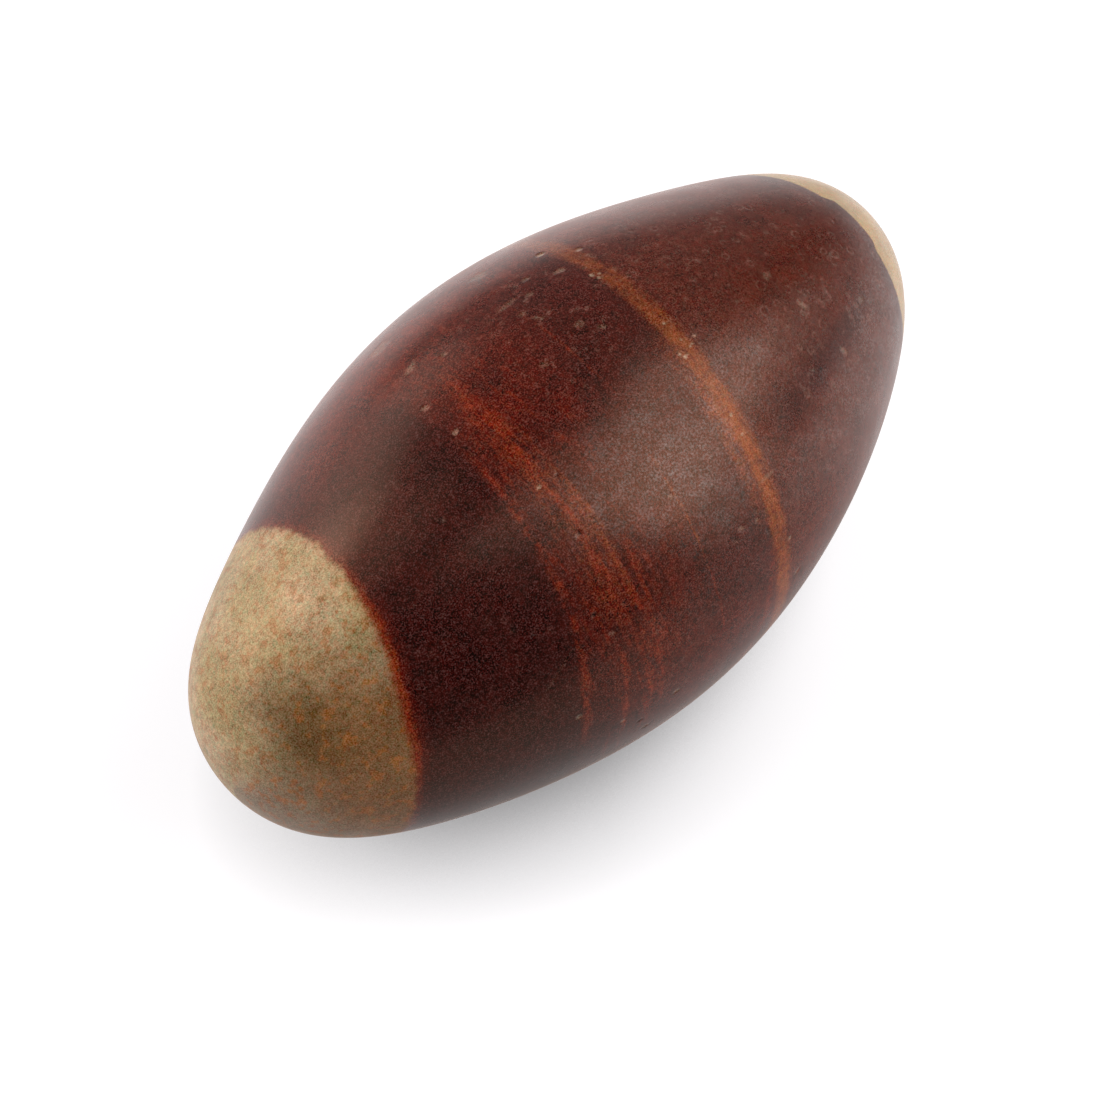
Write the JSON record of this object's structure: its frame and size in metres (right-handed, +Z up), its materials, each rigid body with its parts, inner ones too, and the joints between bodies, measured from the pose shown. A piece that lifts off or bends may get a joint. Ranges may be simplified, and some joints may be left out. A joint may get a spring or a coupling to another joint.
{
  "type": "shiva lingam stone",
  "caption": "Long oval river stone, hand-polished, tapering to blunt rounded tips, with a pale end, rust-coloured banding and a small worn flat underneath to rest on.",
  "frame": {"origin": "on the surface that the stone lies on, under the middle of its outline", "axes": "+X along the stone's long axis from the large pale end to the far end, +Z up, the worn flat facing -Z"},
  "size_m": [0.0998, 0.0532, 0.0505],
  "materials": {
    "banded_stone": "hand-polished satin, dark maroon with pale ends and a rust-orange band"
  },
  "bodies": {
    "root": {"stone": "banded_stone"}
  },
  "joints": []
}
